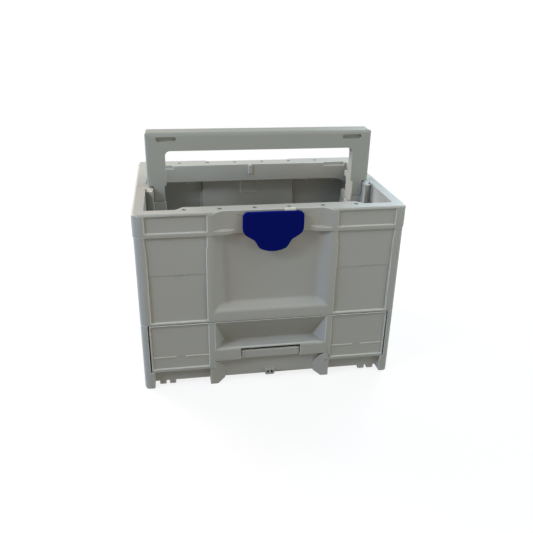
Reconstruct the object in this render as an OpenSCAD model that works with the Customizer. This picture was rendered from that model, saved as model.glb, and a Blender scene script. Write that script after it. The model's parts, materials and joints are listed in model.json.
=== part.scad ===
// Open-topped stacking tool case with a folding bail handle, a rotary latch
// and a drawer. Millimetres, +Z up, the front faces -Y, and the origin lies on
// the floor under the middle of the case.

/* [Case] */
// Outside width across the rim
case_w = 396; // [388:1:420]
// Outside depth across the rim
case_d = 296; // [288:1:320]
// Height of the drawer section, from the floor to the seam under the box
bay_h = 113.5; // [112:0.5:130]
// Height of the box section, from the seam to the rim
box_h = 139.5; // [120:0.5:180]
// Height of the rim
rim_h = 34; // [33:0.5:40]
// Radius of the upright corners
corner_r = 12; // [10:0.5:16]
// Step from the rim in to the walls below it
rim_lap = 1; // [0.5:0.1:1.5]
// Wall thickness of the box and the carcass
wall = 3; // [2.5:0.1:3.5]
// Depth of the sunk panels
panel_d = 3; // [2:0.1:3.5]

/* [Front] */
// Half width over the outer edges of the two pilasters
pilaster_out = 95.5; // [93:0.5:98]
// Half width between the inner edges of the two pilasters
pilaster_in = 86.5; // [82:0.5:90]
// Width of a corner post
post_w = 20; // [17:0.5:24]
// Depth of the recess between the pilasters
recess_d = 14; // [10:0.5:15]
// Width that a pilaster's flank takes as it runs into the recess
flank_w = 17.5; // [14:0.5:20]
// Height of the lip under the recess
lip_h = 19.2; // [14:0.2:26]
// Height of the step line in the side panels, over the seam
line_z = 79; // [60:0.5:100]
// Height of a step line
line_h = 1.2; // [0.8:0.1:2]

/* [Rim] */
// Thickness of the deck on top of the rim
deck_t = 3.5; // [3:0.1:4.5]
// Depth of the deck along the front
deck_front = 30; // [27:0.5:34]
// Depth of the deck at the front corners
deck_corner = 19.5; // [18:0.5:22]
// Depth of the deck along the back
deck_back = 38; // [35:0.5:38.5]
// Width of the deck along the sides
deck_side = 17; // [16:0.5:18.5]
// Radius along the top outer edge
edge_r = 4; // [2:0.5:4.5]
// Height of the flange round the foot of the rim
flange_h = 6; // [4:0.5:8]
// Depth of the latch recess in the rim
rim_recess_d = 8; // [7.5:0.5:9]
// Depth of the sunk panels in the rim
rim_panel_d = 2.3; // [1.5:0.1:3]
// Diameter of the accessory holes
hole_d = 7; // [4:0.5:9]
// Distance between accessory holes
hole_pitch = 50; // [40:1:54]
// Distance from the rim's outer face to the accessory holes
hole_inset = 18; // [16:0.5:20]

/* [Handle] */
// Width of the handle
handle_w = 355; // [344:1:357]
// Height of the handle over its pivot
handle_reach = 105.5; // [90:0.5:107]
// Thickness of the handle from front to back
handle_t = 36; // [32:0.5:38]
// Height of the grip bar
bar_h = 27.7; // [22:0.5:32]
// Width of a handle leg
leg_w = 29; // [26:0.5:34]
// Width of a leg's lower end
hub_w = 16; // [14:0.5:18]
// Thickness of the handle shells
handle_wall = 3; // [2.4:0.1:3.5]
// Radius along the grip bar's top edges
bar_r = 6; // [4:0.5:10]
// Inside corner radius of the handle
handle_r = 8; // [4:0.5:14]
// Depth of the pivot below the rim's top
pivot_drop = 21; // [20:0.5:21.5]
// Diameter of the pivot pins
pin_d = 8; // [6:0.5:9]

/* [Latch] */
// Width of the latch
latch_w = 88.4; // [76:0.4:92]
// Height of the latch over its pivot
latch_up = 23; // [20:0.5:23]
// Length of the latch's tongue below its pivot
latch_down = 37; // [34:0.5:42]
// Thickness of the latch blade
blade_t = 5.2; // [4:0.1:5.2]
// Diameter of the latch spindle
spindle_d = 12; // [8:0.5:13]
// Depth of the latch pivot below the rim's top
latch_drop = 25; // [24:0.5:26]

/* [Drawer] */
// Gap beside the drawer front
side_gap = 2; // [1.2:0.1:2.5]
// Gap over the drawer front
seam_gap = 1.2; // [0.6:0.1:2]
// Height of the drawer front's lower edge over the floor
sill_z = 30; // [27:0.5:33]
// Height of the raised sill between the pilasters
mid_sill_z = 43.3; // [41:0.1:45]
// Height of the pull lip
pull_h = 20.6; // [19.5:0.1:22]
// Depth of the finger scoop
scoop_d = 22; // [18:0.5:24]
// Thickness of the drawer tray's walls
tray_wall = 2.5; // [2:0.1:3]
// How far the drawer slides out
drawer_travel = 215; // [150:1:225]
// Width of the release slide
release_w = 92; // [80:1:100]
// Lift of the release slide
release_lift = 4; // [3:0.5:4]

/* [Base] */
// Height of the plinth's underside over the floor
plinth_z = 9.5; // [8.5:0.5:12]
// How far the plinth stands back from the walls above it
plinth_in = 8; // [6:0.5:9]
// Width of a corner foot
foot_w = 16; // [14:0.5:17]
// Depth of the feet from front to back
foot_l = 22; // [18:0.5:30]
// Bottom radius of the feet
foot_r = 3.5; // [3:0.5:7]

/* [Hidden] */
$fn = 48;

// Colours
case_grey = [0.64, 0.645, 0.61];
handle_grey = [0.60, 0.60, 0.58];
latch_blue = [0.0, 0.07, 0.45];
tab_white = [0.9, 0.9, 0.88];
guide_grey = [0.30, 0.31, 0.32];
steel = [0.72, 0.73, 0.75];

// Clearances
eps = 1;           // how far a cut runs past a face
run_gap = 0.05;    // a pin or spindle in its bore
slide_gap = 0.3;   // a sliding piece beside its guide
seat_gap = 0.3;    // a moving piece over the surface that carries it

// Heights
rim_z = bay_h + box_h;
rim_top = rim_z + rim_h;
// Half sizes
hx = case_w / 2;
hy = case_d / 2;
bx = hx - rim_lap;
by = hy - rim_lap;
body_r = corner_r - rim_lap;

// Box
cavity_x = bx - panel_d - wall - 1;
cavity_y = by - panel_d - wall;
recess_floor = by - recess_d;
panel_out = bx - post_w;
lip_top = bay_h + lip_h;
floor_top = bay_h + wall;
ledge_t = 3.5;
ledge_y = cavity_y - 10;
column_top = rim_z - 5;
column_x = 163;
column_y = [15, 84];   // front and back of a column
column_slant = [10, 23];
screw_r = 1.5;
head_r = 3.2;
head_h = 2.2;
rim_screw_x = [hx - 86, hx - 35];
ledge_x = [rim_screw_x[0] - 12, rim_screw_x[1] + 11];
rim_screw_y = hy - 11.5;
rim_screw_grip = 14;           // how far a rim screw runs into its boss
floor_screw_y = [39 - by, 0, by - 39];
floor_screw_x = cavity_x - 3.8;
floor_boss_r = 3.5;
floor_boss_z = bay_h - 9.5;
floor_screw_grip = 8;          // how far a floor screw runs into its boss
panel_shoulder = [16, 20];     // where a front panel narrows, below the rim
line_gap = [129, 146];         // where a front panel's step line stops and starts again
drawer_line_gap = [132, 146.5];
recess_wall_in = 3;            // how much narrower the recess's wall is than the recess
side_rib = [38, 44];           // edges of the ribs between a side's sunk panels
side_panel_end = by - post_w - 2;
side_panel_low = 12;
side_panel_high = 8;

// Rim
open_x = hx - deck_side;
open_front = hy - deck_front;
open_corner = hy - deck_corner;
open_back = hy - deck_back;
step_in = 127;
step_out = 137;
rim_skin = rim_panel_d + wall;
rim_floor = hy - rim_recess_d;
rim_flank = 15.5;                // width of the recess's flanks
flange_flank = [12, 23, 32];     // steps of the flange as it runs round into the recess
flange_dip = [0.8, 3.2];         // how deep it lies at those steps
slot_x = [137, 176];
slot_h = 6;
slot_d = 5;
skirt_lift = 4.5;                // how far the back skirt ends over the box
gusset = [26, 10.5];             // how far a back corner's gusset reaches in and down

// Handle
pivot_z = rim_top - pivot_drop;
handle_x = handle_w / 2;
leg_in = handle_x - leg_w;
handle_y = [-handle_t / 2 - 2, handle_t / 2 - 2];
split_y = -2;
handle_top = pivot_z + handle_reach;
bar_z = handle_top - bar_h;
leg_foot_z = rim_top + 2.5;
cheek_x = open_x - 12;
hub_out = cheek_x - 0.8;
hub_in = hub_out - hub_w;
hub_r = 15.5;
heel_z = pivot_z - 1.5;
pin_r = pin_d / 2;
pin_in = hub_in + 3;
pin_out = open_x - 0.1;
leg_edge_r = 4;
handle_slot_x = [leg_in - 17.8, leg_in + 12.7];
handle_slot_z = [handle_top - 13.1, handle_top - 6.3];
handle_slot_d = 5;
foot_bar = 8;              // height of a leg's foot, which joins it to its hub
foot_x = [min(hub_in, leg_in), max(hub_out, leg_in + hub_w)];
foot_span = foot_x[1] - foot_x[0];
leg_cut = 10;              // how far a leg's rear inner edge is cut back at the rear
handle_screw_grip = 11;    // how far a handle screw runs into the front shell
handle_screw_at = [
    [leg_in + leg_w / 2, pivot_z + 36], [leg_in + leg_w / 2, pivot_z + 68],
    [60, bar_z + bar_h / 2]
];
handle_boss_r = 4.5;

// Handle brackets
heel_reach = sqrt(pow(handle_y[1], 2) + pow(heel_z - pivot_z, 2));
heel_gap = 0.9;
cup_floor = pivot_z - heel_reach - 0.6;
cup_bottom = cup_floor - 4;
cup_in = hub_in - 1.5;
cup_back = column_y[0] - 1;
bracket_y = [-36, 8];
lug_back = 2;
bracket_tip_y = -8;
bracket_nose = 2.5;              // width of the cheek's front edge
bracket_slant = 6;               // how far the cheek's front slants back to the rim
bracket_lug = 6;
bracket_top_t = 2;
bracket_screw_at = [[-12, pivot_z + 10], [-12, pivot_z - 7]];

// Latch
latch_z = rim_top - latch_drop;
blade_front = -hy + 0.6;
blade_back = blade_front + blade_t;
plate_back = -rim_floor - seat_gap;
spindle_r = spindle_d / 2;
wall_back = -rim_floor + wall;
retainer_r = latch_z - rim_z - 0.5;
retainer_t = 2.5;
latch_screw_r = 2;
blade_x = latch_w / 2;
blade_r = 8;                     // top corners
lobe_r = 13.8;                   // round sides
lobe_at = [blade_x - lobe_r, latch_z - 1.3];
lobe_turn = 57;                  // where the side's round ends, under the level
shoulder_at = [blade_x - 16.9, latch_z - 19.6];
tongue_turn = 28.4;
tongue_r = 7.5;                  // tip's corners
tip_r = 42;                      // round end of the tongue
tip_z = latch_z - latch_down + tip_r;
tongue_x = 14.6;
tongue_at = [tongue_x, tip_z - sqrt(pow(tip_r - tongue_r, 2) - pow(tongue_x, 2))];
plate_r = 20;
tab_x = [16.4, 32.4];
tab_top = latch_z + latch_up + 3.2;

// Drawer
front_x = bx - 12.7;
post_in = front_x + side_gap;
front_top = bay_h - seam_gap;
front_bottom = sill_z + 0.5;
pull_bottom = mid_sill_z + 0.6;
pull_top = pull_bottom + pull_h;
front_back = -by + 5;
front_panel_d = 2;
lip_r = 3;
scoop_back = -by + scoop_d;
housing_back = scoop_back + 3.5;
tray_bottom = pull_bottom + 1.1;
tray_top = front_top - 6;
tray_x = front_x - 5.3;
tray_back = by - 9;
tongue_out = post_in - 0.7;
tongue_y = [front_back + 22, tray_back - 6];
rail_z = [tray_top - 18.3, tray_top - 12.3];
runner_z = [rail_z[0] - 4, rail_z[1] + 4];
runner_in = tray_x + 2.5;
runner_y = [-by + 15, by - 11];
runner_screw_y = [47 - by, 0, by - 47];
stop_h = 5;
stop_y = runner_y[0];
stop_l = 6;
lug_y = stop_y + stop_l + drawer_travel + slide_gap;
tray_screw_at = [[tray_x - 8, tray_bottom + 15], [tray_x - 8, tray_top - 11.3]];
flange_y = front_back + 6;

// Release
window_x = release_w / 2 + 1;
window_top = pull_top - 1.7;
pocket_x = release_w / 2 + 15;
pocket_y = [-by + 3, housing_back - 3];
pocket_top = pull_top - 3.5;
cover_z = pull_bottom + 0.5;
cover_t = 2;
arm_x = 30;
arm_z = [cover_z + cover_t + 0.2, cover_z + cover_t + 4.6];
release_face = -by + 2;
release_t = 2.2;
release_screw_l = 10;
hook_y = -by + plinth_in + wall + 0.6;
release_screw_x = pocket_x - 7;
release_screw_y = (pocket_y[0] + pocket_y[1]) / 2;

// Base
plinth_x = bx - plinth_in + 1;
plinth_y = by - plinth_in;
foot_y = by - foot_l;
groove_x = plinth_x - 40;        // ends of the grooves under the base
groove_y = plinth_y - 29;
groove_pitch = 53.4;
hook_x = [154, 169];
hook_w = 10;
eyelet_w = 15.5;
eyelet_z = [plinth_z - 1, plinth_z + 9.5];
eyelet_t = 2.4;                  // thickness of the eyelet's rings

// A box between two corners
module box(lo, hi) translate(lo) cube(hi - lo);

// Prisms of a flat shape: of [x, y] up Z, of [x, z] along Y and of [y, z] along X
module prism_z(lo, hi) translate([0, 0, lo]) linear_extrude(hi - lo) children();
module prism_y(lo, hi) translate([0, hi, 0]) rotate([90, 0, 0]) linear_extrude(hi - lo) children();
module prism_x(lo, hi) translate([lo, 0, 0]) rotate([90, 0, 90]) linear_extrude(hi - lo) children();

// The shape and its mirror image across the case's middle
module both_sides() {
    children();
    mirror([1, 0, 0]) children();
}

// The shape at the front and, turned half round, at the back
module front_and_back() {
    children();
    rotate([0, 0, 180]) children();
}

// A rectangle with round corners, between two corner points
module rounded(lo, hi, r) {
    translate([lo[0] + r, lo[1]]) square([hi[0] - lo[0] - 2 * r, hi[1] - lo[1]]);
    translate([lo[0], lo[1] + r]) square([hi[0] - lo[0], hi[1] - lo[1] - 2 * r]);
    for (x = [lo[0] + r, hi[0] - r], y = [lo[1] + r, hi[1] - r]) translate([x, y]) circle(r);
}

module outline(x, y, r) rounded([-x, -y], [x, y], r);

// From and to, along Y, of the sunk panels in a side
function side_panels() = [
    [-side_panel_end, -side_rib[1]], [-side_rib[0], side_rib[0]], [side_rib[1], side_panel_end]
];

// A straight hole or rod along X, from one x to the other
module rod_x(lo, hi, y, z, r) translate([lo, y, z]) rotate([0, 90, 0]) cylinder(h = hi - lo, r = r);
module rod_y(lo, hi, x, z, r) translate([x, hi, z]) rotate([90, 0, 0]) cylinder(h = hi - lo, r = r);

// A pan-head screw that points down -Z, its head's seat at the origin
module screw(length, r = screw_r) {
    translate([0, 0, -length]) cylinder(h = length, r = r - 0.03);
    difference() {
        cylinder(h = head_h, r = head_r);
        for (turn = [0, 90]) {
            rotate([0, 0, turn]) translate([-2, -0.4, head_h - 1]) cube([4, 0.8, 2]);
        }
    }
}

// ---------------------------------------------------------------- rim

// The opening inside the rim, or grown by a margin
function opening_points(m) = [
    [-open_x - m, open_back + m], [-open_x - m, -open_corner - m],
    [-step_out - m / 3, -open_corner - m], [-step_in - m / 3, -open_front - m],
    [step_in + m / 3, -open_front - m], [step_out + m / 3, -open_corner - m],
    [open_x + m, -open_corner - m], [open_x + m, open_back + m]
];

// The latch recess in plan, or grown by a margin
function latch_recess_points(m) = [
    [-pilaster_in - m, -hy - eps], [-pilaster_in - m, -hy],
    [-pilaster_in + rim_flank - m / 2, -rim_floor + m], [pilaster_in - rim_flank + m / 2, -rim_floor + m],
    [pilaster_in + m, -hy], [pilaster_in + m, -hy - eps]
];

// The same recess at the flange, which runs round into it
function flange_recess_points() = [
    [-pilaster_in, -hy - eps], [-pilaster_in, -hy],
    [-pilaster_in + flange_flank[0], -hy + flange_dip[0]],
    [-pilaster_in + flange_flank[1], -hy + flange_dip[1]],
    [-pilaster_in + flange_flank[2], -rim_floor], [pilaster_in - flange_flank[2], -rim_floor],
    [pilaster_in - flange_flank[1], -hy + flange_dip[1]],
    [pilaster_in - flange_flank[0], -hy + flange_dip[0]],
    [pilaster_in, -hy], [pilaster_in, -hy - eps]
];

module rim_blank() {
    intersection() {
        prism_z(rim_z, rim_top) outline(hx, hy, corner_r);
        prism_x(-hx, hx) rounded([-hy, rim_z - corner_r], [hy, rim_top], edge_r);
        prism_y(-hy, hy) rounded([-hx, rim_z - corner_r], [hx, rim_top], edge_r);
    }
}

module rim_hollow() {
    difference() {
        outline(hx - rim_skin, hy - rim_skin, corner_r - rim_skin);
        polygon(opening_points(wall));
        polygon(latch_recess_points(wall));
        rotate([0, 0, 180]) polygon(latch_recess_points(wall));
    }
}

// A handle bracket in plan, with a slanting front; its top lug is let into the deck
module bracket_plan(back, grow = 0) {
    polygon([
        [cheek_x, bracket_y[0] - grow], [cheek_x + bracket_nose + grow / 2, bracket_y[0] - grow],
        [open_x + bracket_lug + grow, bracket_tip_y - grow],
        [open_x + bracket_lug + grow, back + grow], [cheek_x, back + grow]
    ]);
}

module rim_boss(x, y, top) {
    translate([x, y, rim_z]) cylinder(h = top - rim_z, r = 4);
}

module rim_frame() {
    panel_z = [rim_z + flange_h, rim_top - edge_r + 0.5];
    skirt_z = rim_z + skirt_lift;
    color(case_grey)
    difference() {
        union() {
            difference() {
                rim_blank();
                prism_z(rim_z - eps, rim_top + eps) polygon(opening_points(0));
                prism_z(rim_z - eps, rim_top - deck_t) rim_hollow();
                box([-open_x, open_back - eps, rim_z - eps], [open_x, open_back + wall + 0.1, skirt_z]);
            }
            // Bosses for the screws that hold the rim to the box
            front_and_back() both_sides() for (x = rim_screw_x) rim_boss(x, -rim_screw_y, rim_top - deck_t);
            // Bosses behind the handle brackets
            both_sides() for (at = bracket_screw_at) rod_x(open_x, hx - rim_skin, at[0], at[1], 4.5);
            // Rounded gussets at the back corners of the opening
            both_sides() prism_y(open_back, open_back + wall) polygon([
                [open_x - gusset[0], skirt_z + 3], [open_x - gusset[0], skirt_z],
                [open_x - gusset[0] * 0.6, skirt_z - gusset[1] * 0.15],
                [open_x - gusset[0] * 0.27, skirt_z - gusset[1] * 0.5], [open_x, skirt_z - gusset[1]],
                [open_x + wall, skirt_z - gusset[1]], [open_x + wall, skirt_z + 3]
            ]);
            // Housings behind the slots
            both_sides() {
                box([slot_x[0] - 2, open_back + 1, rim_top - slot_h - 2],
                    [slot_x[1] + 2, open_back + slot_d + 2, rim_top - deck_t + 0.5]);
            }
            // Catch for the folded handle
            box([-3, open_back - 3.2, rim_top - 17], [3, open_back + 1, rim_top - 1]);
        }
        front_and_back() {
            prism_z(rim_z + flange_h, rim_top + eps) polygon(latch_recess_points(0));
            prism_z(rim_z - eps, rim_z + flange_h + 0.01) polygon(flange_recess_points());
            both_sides() box([pilaster_out - 1, -hy - eps, panel_z[0]], [hx - deck_side, -hy + rim_panel_d, panel_z[1]]);
            both_sides() for (x = rim_screw_x) {
                translate([x, -rim_screw_y, rim_z - eps]) cylinder(h = rim_screw_grip + 3 + eps, r = screw_r);
            }
        }
        both_sides() for (y = side_panels()) {
            box([hx - rim_panel_d, y[0], panel_z[0]], [hx + eps, y[1], panel_z[1]]);
        }
        // Accessory holes, in a front and a back row
        for (x = [-2.5:1:2.5], y = [-1, 1]) {
            translate([x * hole_pitch, y * (hy - hole_inset), rim_top - deck_t - eps]) {
                cylinder(h = deck_t + 2 * eps, d = hole_d);
            }
        }
        // Slots for the folded handle's corners
        both_sides() {
            box([slot_x[0], open_back - eps, rim_top - slot_h], [slot_x[1], open_back + slot_d, rim_top + eps]);
        }
        // Seats and screw holes of the handle brackets
        both_sides() {
            prism_z(rim_top - bracket_top_t - 0.1, rim_top + eps) bracket_plan(lug_back, 0.15);
            for (at = bracket_screw_at) rod_x(open_x - eps, hx - rim_skin - 1.5, at[0], at[1], screw_r);
        }
        // Bore for the latch spindle
        rod_y(-hy, wall_back + eps, 0, latch_z, spindle_r + run_gap);
    }
}

module rim_screws() {
    color(steel)
    front_and_back() both_sides() for (x = rim_screw_x) {
        translate([x, -rim_screw_y, rim_z - ledge_t]) rotate([180, 0, 0]) screw(ledge_t + rim_screw_grip);
    }
}

// ---------------------------------------------------------------- box

// The recess between the pilasters: flanks in plan, floor and shelf from the side
module front_recess() {
    deep = recess_floor;
    intersection() {
        prism_z(bay_h, rim_z + eps) polygon([
            [-pilaster_in, -by - eps], [-pilaster_in, -by],
            [-pilaster_in + 1.5 * flank_w, -by + 1.5 * recess_d],
            [pilaster_in - 1.5 * flank_w, -by + 1.5 * recess_d],
            [pilaster_in, -by], [pilaster_in, -by - eps]
        ]);
        prism_x(-pilaster_in, pilaster_in) polygon([
            [-by - eps, lip_top], [-by, lip_top], [-deep, lip_top + 5],
            [-deep - 3, rim_z + eps], [-by - eps, rim_z + eps]
        ]);
    }
}

// A sunk panel beside a pilaster, with its step line
module front_panel() {
    top = bay_h + line_z;
    shallow = panel_d - 0.8;
    prism_y(-by - eps, -by + shallow) polygon([
        [pilaster_out + 1, bay_h + 3], [panel_out, bay_h + 3], [panel_out, rim_z - 2 * panel_shoulder[0]],
        [panel_out + 3.5, rim_z - panel_shoulder[0]], [panel_out + 3.5, rim_z + eps],
        [pilaster_out - 0.5, rim_z + eps], [pilaster_out - 0.5, rim_z - panel_shoulder[0]],
        [pilaster_out + 1, rim_z - panel_shoulder[1]]
    ]);
    prism_x(pilaster_out + 1, panel_out) polygon([
        [-by - eps, bay_h + 3], [-by + shallow, bay_h + 3], [-by + panel_d, bay_h + 4.5],
        [-by + panel_d, top], [-by - eps, top]
    ]);
    for (x = [[pilaster_out + 1, line_gap[0]], [line_gap[1], panel_out]]) {
        box([x[0], -by - eps, top - 0.1], [x[1], -by + panel_d, top + line_h]);
    }
}

// The inside of the box in plan, drawn in where the recesses are
module cavity_plan() {
    a = pilaster_in - recess_wall_in;
    inner = recess_floor - wall;
    difference() {
        outline(cavity_x, cavity_y, body_r - wall - 1);
        for (turn = [0, 180]) rotate([0, 0, turn]) polygon([
            [-pilaster_in - 2, -by], [-pilaster_in - 2, -cavity_y - 0.01], [-a, -inner],
            [a, -inner], [pilaster_in + 2, -cavity_y - 0.01], [pilaster_in + 2, -by]
        ]);
    }
}

// A column from the side, or its hollow, which is open below
module column_side(inset) {
    low = bay_h - (inset > 0 ? eps : 0);
    polygon([
        [column_y[0] + inset, low], [column_y[0] + inset, column_top - inset],
        [column_y[1] - column_slant[0] - inset, column_top - inset],
        [column_y[1] - inset, column_top - column_slant[1]], [column_y[1] - inset, low]
    ]);
}

module upper_box() {
    color(case_grey)
    difference() {
        union() {
            difference() {
                prism_z(bay_h, rim_z) outline(bx, by, body_r);
                prism_z(floor_top, rim_z + eps) cavity_plan();
            }
            // Ledges under the rim, for its screws
            front_and_back() both_sides() {
                box([ledge_x[0], -cavity_y - 0.5, rim_z - ledge_t], [ledge_x[1], -ledge_y, rim_z]);
            }
            // Hollow columns that carry the folded handle's legs
            both_sides() prism_x(column_x, cavity_x + 0.5) column_side(0);
            // Pad on the inside of the back
            box([-15, recess_floor - wall - 1.2, rim_z - 24], [15, recess_floor - wall + 0.5, rim_z]);
            // Ribs across the floor
            for (y = [-70, 0, 70]) box([-column_x + 8, y - 1.2, bay_h], [column_x - 8, y + 1.2, floor_top + 1.5]);
        }
        both_sides() prism_x(column_x + wall, cavity_x + 1) column_side(wall);
        front_and_back() {
            front_recess();
            both_sides() front_panel();
            both_sides() for (x = rim_screw_x) {
                translate([x, -rim_screw_y, rim_z - ledge_t - eps]) cylinder(h = ledge_t + 2 * eps, r = screw_r + 0.3);
            }
        }
        // Sunk panels in the sides, with ribs between them
        both_sides() for (y = side_panels()) {
            box([bx - panel_d, y[0], bay_h + side_panel_low], [bx + eps, y[1], rim_z - side_panel_high]);
        }
        // Holes for the screws that hold the carcass
        both_sides() for (y = floor_screw_y) {
            translate([floor_screw_x, y, bay_h - eps]) cylinder(h = wall + 2 * eps, r = screw_r + 0.3);
        }
    }
}

module floor_screws() {
    color(steel)
    both_sides() for (y = floor_screw_y) translate([floor_screw_x, y, floor_top]) screw(wall + floor_screw_grip);
}

// ---------------------------------------------------------------- base

module corner_foot() {
    intersection() {
        prism_z(0, sill_z) outline(bx, by, body_r);
        prism_y(-by, -foot_y) rounded([bx - foot_w, 0], [bx, sill_z + 2 * foot_r], foot_r);
        prism_x(bx - foot_w, bx) rounded([-by, 0], [-foot_y, sill_z + 2 * foot_r], foot_r);
    }
}

// The foot under a pilaster, flared towards the plinth
module pilaster_foot() {
    edge = pilaster_in + 1.2;
    intersection() {
        prism_z(0, mid_sill_z) polygon([
            [pilaster_out - 0.5, -by], [edge, -by], [pilaster_in - 17, -plinth_y],
            [pilaster_in - 17, -foot_y], [pilaster_out - 0.5, -foot_y]
        ]);
        prism_y(-by, -foot_y) polygon([
            [pilaster_out - 0.5, 0], [pilaster_out - 0.5, sill_z - 0.1], [edge, sill_z - 0.1],
            [edge, mid_sill_z], [edge - 9, mid_sill_z - 7], [edge - 17.5, mid_sill_z - 20],
            [edge - 16, 8], [edge - 4, 0]
        ]);
        prism_x(0, bx) rounded([-by, 0], [-foot_y + foot_r, mid_sill_z + foot_r], foot_r);
    }
}

// A pair of hooks that catch older units, under the plinth's edge
module coupling_hooks() {
    both_sides() for (x = hook_x) prism_x(x - hook_w / 2, x + hook_w / 2) polygon([
        [-plinth_y, plinth_z + 1], [-plinth_y, plinth_z - 5.5], [-plinth_y + 2, plinth_z - 7.5],
        [-plinth_y + 8, plinth_z - 7.5], [-plinth_y + 8, plinth_z - 4], [-plinth_y + 4, plinth_z - 4],
        [-plinth_y + 4, plinth_z + 1]
    ]);
}

module base_carcass() {
    inner_floor = plinth_z + wall;
    color(case_grey)
    difference() {
        union() {
            difference() {
                union() {
                    prism_z(sill_z - 2, bay_h) outline(bx, by, body_r);
                    prism_z(plinth_z, sill_z) outline(plinth_x, plinth_y, body_r - 4);
                }
                // The bay, open at the front between the posts
                box([-cavity_x, -plinth_y + wall, sill_z + 1], [cavity_x, cavity_y, bay_h + eps]);
                box([-plinth_x + wall, -plinth_y + wall, inner_floor], [plinth_x - wall, plinth_y - wall, sill_z + 2]);
                box([-post_in, -by - eps, sill_z], [post_in, -plinth_y + wall + eps, bay_h + eps]);
                // Undercut below the drawer front
                box([-post_in, -by - eps, 0], [post_in, -plinth_y, sill_z + eps]);
            }
            // Raised sill between the pilasters
            box([-pilaster_in, -plinth_y, inner_floor], [pilaster_in, -plinth_y + wall, mid_sill_z]);
            front_and_back() both_sides() corner_foot();
            both_sides() pilaster_foot();
            rotate([0, 0, 180]) both_sides() intersection() {
                pilaster_foot();
                prism_z(0, sill_z) outline(bx, by, body_r);
            }
            front_and_back() coupling_hooks();
            // Bosses under the floor of the box
            both_sides() for (y = floor_screw_y) {
                translate([floor_screw_x, y, floor_boss_z]) cylinder(h = bay_h - floor_boss_z, r = floor_boss_r);
                box([floor_screw_x, y - 1.2, floor_boss_z], [cavity_x + 0.5, y + 1.2, bay_h]);
            }
        }
        both_sides() for (y = floor_screw_y) {
            translate([floor_screw_x, y, floor_boss_z - eps]) cylinder(h = bay_h, r = screw_r);
        }
        // Sunk panels in the sides and the back
        both_sides() for (y = side_panels()) {
            box([bx - panel_d, y[0], sill_z + 8], [bx + eps, y[1], bay_h - 6]);
        }
        rotate([0, 0, 180]) both_sides() {
            box([pilaster_out, -by - eps, sill_z + 8], [panel_out, -by + panel_d, bay_h - 3]);
        }
        rotate([0, 0, 180]) box([-pilaster_in, -by - eps, sill_z + 8], [pilaster_in, -by + panel_d, bay_h - 12]);
        // Holes for the runner screws
        both_sides() for (y = runner_screw_y) {
            rod_x(cavity_x - eps, cavity_x + 3.4, y, (rail_z[0] + rail_z[1]) / 2, screw_r);
        }
        // Slot for the coupling eyelet's root
        box([-5.2, -plinth_y - eps, eyelet_z[1] - 3.2], [5.2, -plinth_y + wall + eps, eyelet_z[1] + 0.2]);
        // Openings behind the eyelet's rings
        both_sides() {
            box([eyelet_t / 2, -plinth_y - eps, eyelet_z[0] + eyelet_t + 0.6],
                [5, -plinth_y + wall + eps, eyelet_z[1] - 3.1]);
        }
        // Grooves under the base
        for (row = [-1.5:1:1.5]) translate([0, row * groove_pitch, 0]) {
            box([-groove_x, -2, plinth_z - eps], [groove_x, 2, plinth_z + 1]);
        }
        for (x = [-groove_x, 0, groove_x]) box([x - 2, -groove_y, plinth_z - eps], [x + 2, groove_y, plinth_z + 1]);
    }
}

module coupling_eyelet() {
    root_z = [eyelet_z[1] - 3, eyelet_z[1]];
    color(case_grey)
    union() {
        prism_y(-plinth_y - 4, -plinth_y) difference() {
            rounded([-eyelet_w / 2, eyelet_z[0]], [eyelet_w / 2, eyelet_z[1]], 3);
            for (s = [-1, 1]) mirror([s > 0 ? 0 : 1, 0]) {
                rounded([eyelet_t / 2, eyelet_z[0] + eyelet_t], [eyelet_w / 2 - eyelet_t, root_z[0]], 1.5);
            }
        }
        box([-5, -plinth_y - 1, root_z[0]], [5, -plinth_y + wall + 1.5, root_z[1]]);
    }
}

// ---------------------------------------------------------------- runners

module runner() {
    mid = (rail_z[0] + rail_z[1]) / 2;
    difference() {
        box([runner_in, runner_y[0], runner_z[0]], [cavity_x, runner_y[1], runner_z[1]]);
        box([runner_in - eps, runner_y[0] - eps, rail_z[0] - slide_gap],
            [tongue_out + slide_gap, runner_y[1] - 3, rail_z[1] + slide_gap]);
        for (y = runner_screw_y) {
            rod_x(tongue_out, cavity_x + eps, y, mid, screw_r + 0.3);
            rod_x(tongue_out, tongue_out + slide_gap + head_h, y, mid, head_r + 0.2);
        }
    }
}

module left_runner() color(guide_grey) mirror([1, 0, 0]) runner();
module right_runner() color(guide_grey) runner();

module runner_screws() {
    seat = tongue_out + slide_gap + head_h;
    color(steel)
    both_sides() for (y = runner_screw_y) {
        translate([seat, y, (rail_z[0] + rail_z[1]) / 2]) rotate([0, -90, 0]) screw(cavity_x + 3 - seat);
    }
}

// Blocks on the runners' front ends that stop the tray's lugs
module drawer_stops() {
    color(guide_grey)
    both_sides() box([runner_in - 1, stop_y, runner_z[1]], [tongue_out, stop_y + stop_l, runner_z[1] + stop_h]);
}

// ---------------------------------------------------------------- handle

// The handle's face, down to the legs' feet
module handle_face(inset = 0) {
    difference() {
        rounded([-handle_x + inset, leg_foot_z - 20], [handle_x - inset, handle_top - inset], 4);
        translate([-handle_x, leg_foot_z - 25]) square([handle_w, 25 + inset]);
        rounded([-leg_in - inset, leg_foot_z - 20], [leg_in + inset, bar_z + inset], handle_r);
    }
    // Feet that join each leg to its hub
    for (s = [-1, 1]) translate([s * (foot_x[0] + foot_x[1]) / 2 - foot_span / 2 + inset, leg_foot_z + inset]) {
        square([foot_span - 2 * inset, foot_bar - 2 * inset]);
    }
}

// A leg's lower end, seen from the side: a straight heel over a round hub
module leg_end() {
    translate([handle_y[0], heel_z]) square([handle_t, leg_foot_z - heel_z + 1]);
    translate([0, pivot_z]) circle(hub_r);
}

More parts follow.
